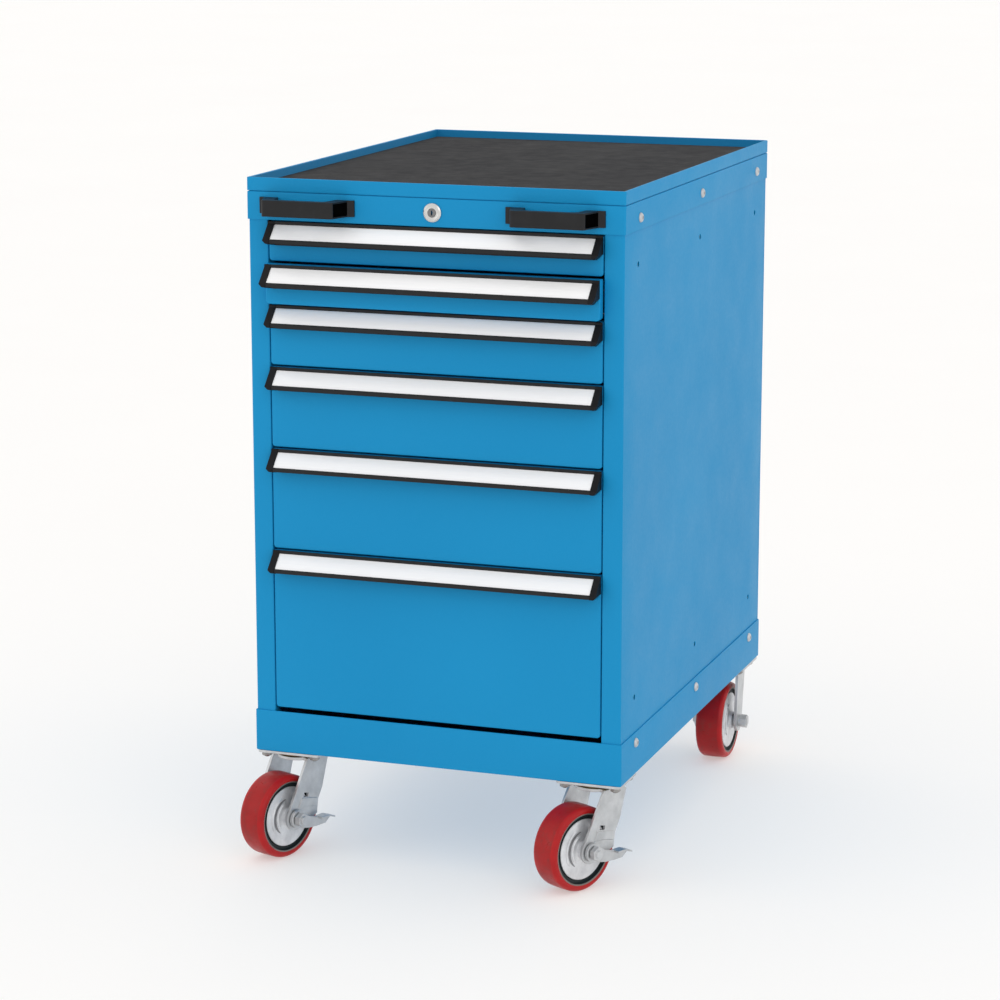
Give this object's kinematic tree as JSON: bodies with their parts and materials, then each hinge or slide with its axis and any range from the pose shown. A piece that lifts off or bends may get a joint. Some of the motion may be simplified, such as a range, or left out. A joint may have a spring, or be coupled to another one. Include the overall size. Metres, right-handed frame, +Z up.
{
  "type": "mobile drawer cabinet",
  "caption": "Mobile steel drawer cabinet: tray top with rubber mat, telescopic drawers with full-width grips, key lock, pull handles and four casters.",
  "frame": {"origin": "on the floor, under the middle of the whole object", "axes": "+Z up, drawers open toward -Y, +X to the right as seen from the front"},
  "size_m": [0.5768, 0.83, 1.005],
  "materials": {
    "blue_paint": "smooth powder coat",
    "mat_rubber": "fine ribs",
    "black_plastic": "fine moulded grain",
    "label_white": "smooth",
    "zinc": "bright zinc plating",
    "chrome": "polished",
    "slide_steel": "zinc-plated, rolled",
    "red_polyurethane": "smooth cast"
  },
  "bodies": {
    "cabinet": {"top_tray": "blue_paint", "top_mat": "mat_rubber", "top_rail": "blue_paint", "left_side_panel": "blue_paint", "right_side_panel": "blue_paint", "back_panel": "blue_paint", "plinth": "blue_paint", "pull_handles": "black_plastic", "side_screws": "zinc", "slide_rails": "slide_steel", "caster_plates": "zinc", "caster_bolts": "zinc", "lock_housing": "chrome", "rear_right_bracket": "zinc", "rear_left_bracket": "zinc"},
    "lock": {"lock_barrel": "chrome", "lock_cam": "zinc"},
    "drawer_1": {"drawer_1": "blue_paint", "drawer_1_grip": "black_plastic", "drawer_1_label": "label_white", "drawer_1_runners": "slide_steel"},
    "slides_1": {"drawer_1_slides": "slide_steel"},
    "drawer_2": {"drawer_2": "blue_paint", "drawer_2_grip": "black_plastic", "drawer_2_label": "label_white", "drawer_2_runners": "slide_steel"},
    "slides_2": {"drawer_2_slides": "slide_steel"},
    "drawer_3": {"drawer_3": "blue_paint", "drawer_3_grip": "black_plastic", "drawer_3_label": "label_white", "drawer_3_runners": "slide_steel"},
    "slides_3": {"drawer_3_slides": "slide_steel"},
    "drawer_4": {"drawer_4": "blue_paint", "drawer_4_grip": "black_plastic", "drawer_4_label": "label_white", "drawer_4_runners": "slide_steel"},
    "slides_4": {"drawer_4_slides": "slide_steel"},
    "drawer_5": {"drawer_5": "blue_paint", "drawer_5_grip": "black_plastic", "drawer_5_label": "label_white", "drawer_5_runners": "slide_steel"},
    "slides_5": {"drawer_5_slides": "slide_steel"},
    "drawer_6": {"drawer_6": "blue_paint", "drawer_6_grip": "black_plastic", "drawer_6_label": "label_white", "drawer_6_runners": "slide_steel"},
    "slides_6": {"drawer_6_slides": "slide_steel"},
    "front_left_swivel": {"front_left_fork": "zinc"},
    "front_left_wheel": {"front_left_wheel_core": "zinc", "front_left_tread": "red_polyurethane"},
    "front_right_swivel": {"front_right_fork": "zinc"},
    "front_right_wheel": {"front_right_wheel_core": "zinc", "front_right_tread": "red_polyurethane"},
    "rear_right_wheel": {"rear_right_wheel_core": "zinc", "rear_right_tread": "red_polyurethane"},
    "rear_left_wheel": {"rear_left_wheel_core": "zinc", "rear_left_tread": "red_polyurethane"},
    "front_left_brake": {"front_left_brake_pedal": "zinc"},
    "front_right_brake": {"front_right_brake_pedal": "zinc"}
  },
  "joints": [
    {"name": "lock_turn", "type": "hinge", "parent": "cabinet", "child": "lock", "pos_m": [0, -0.34951, 0.965], "axis": [0, 1, 0], "range_deg": [0, 90]},
    {"name": "drawer_1_slide", "type": "slide", "parent": "cabinet", "child": "drawer_1", "axis": [0, -1, 0], "range_m": [0, 0.65]},
    {"name": "slides_1_slide", "type": "slide", "parent": "cabinet", "child": "slides_1", "axis": [0, -1, 0], "range_m": [0, 0.325]},
    {"name": "drawer_2_slide", "type": "slide", "parent": "cabinet", "child": "drawer_2", "axis": [0, -1, 0], "range_m": [-0.015, 0.635]},
    {"name": "slides_2_slide", "type": "slide", "parent": "cabinet", "child": "slides_2", "axis": [0, -1, 0], "range_m": [-0.0075, 0.3175]},
    {"name": "drawer_3_slide", "type": "slide", "parent": "cabinet", "child": "drawer_3", "axis": [0, -1, 0], "range_m": [0, 0.65]},
    {"name": "slides_3_slide", "type": "slide", "parent": "cabinet", "child": "slides_3", "axis": [0, -1, 0], "range_m": [0, 0.325]},
    {"name": "drawer_4_slide", "type": "slide", "parent": "cabinet", "child": "drawer_4", "axis": [0, -1, 0], "range_m": [0, 0.65]},
    {"name": "slides_4_slide", "type": "slide", "parent": "cabinet", "child": "slides_4", "axis": [0, -1, 0], "range_m": [0, 0.325]},
    {"name": "drawer_5_slide", "type": "slide", "parent": "cabinet", "child": "drawer_5", "axis": [0, -1, 0], "range_m": [0, 0.65]},
    {"name": "slides_5_slide", "type": "slide", "parent": "cabinet", "child": "slides_5", "axis": [0, -1, 0], "range_m": [0, 0.325]},
    {"name": "drawer_6_slide", "type": "slide", "parent": "cabinet", "child": "drawer_6", "axis": [0, -1, 0], "range_m": [0, 0.65]},
    {"name": "slides_6_slide", "type": "slide", "parent": "cabinet", "child": "slides_6", "axis": [0, -1, 0], "range_m": [0, 0.325]},
    {"name": "front_left_swivel_turn", "type": "hinge", "parent": "cabinet", "child": "front_left_swivel", "pos_m": [-0.232, -0.30701, 0.148], "axis": [0, 0, 1], "continuous": true},
    {"name": "front_left_wheel_spin", "type": "hinge", "parent": "front_left_swivel", "child": "front_left_wheel", "pos_m": [-0.24773, -0.35024, 0.0625], "axis": [0.9397, -0.342, 0], "continuous": true},
    {"name": "front_right_swivel_turn", "type": "hinge", "parent": "cabinet", "child": "front_right_swivel", "pos_m": [0.232, -0.30701, 0.148], "axis": [0, 0, 1], "continuous": true},
    {"name": "front_right_wheel_spin", "type": "hinge", "parent": "front_right_swivel", "child": "front_right_wheel", "pos_m": [0.21112, -0.348, 0.0625], "axis": [0.891, -0.454, 0], "continuous": true},
    {"name": "rear_right_wheel_spin", "type": "hinge", "parent": "cabinet", "child": "rear_right_wheel", "pos_m": [0.232, 0.35199, 0.0625], "axis": [1, 0, 0], "continuous": true},
    {"name": "rear_left_wheel_spin", "type": "hinge", "parent": "cabinet", "child": "rear_left_wheel", "pos_m": [-0.232, 0.35199, 0.0625], "axis": [1, 0, 0], "continuous": true},
    {"name": "front_left_brake_press", "type": "hinge", "parent": "front_left_swivel", "child": "front_left_brake", "pos_m": [-0.21484, -0.36221, 0.0625], "axis": [0.9397, -0.342, 0], "range_deg": [-22, 0]},
    {"name": "front_right_brake_press", "type": "hinge", "parent": "front_right_swivel", "child": "front_right_brake", "pos_m": [0.2423, -0.36389, 0.0625], "axis": [0.891, -0.454, 0], "range_deg": [-22, 0]}
  ],
  "couplings": [
    {"joint": "slides_1_slide", "follows": "drawer_1_slide", "ratio": 0.5},
    {"joint": "slides_2_slide", "follows": "drawer_2_slide", "ratio": 0.5},
    {"joint": "slides_3_slide", "follows": "drawer_3_slide", "ratio": 0.5},
    {"joint": "slides_4_slide", "follows": "drawer_4_slide", "ratio": 0.5},
    {"joint": "slides_5_slide", "follows": "drawer_5_slide", "ratio": 0.5},
    {"joint": "slides_6_slide", "follows": "drawer_6_slide", "ratio": 0.5}
  ]
}
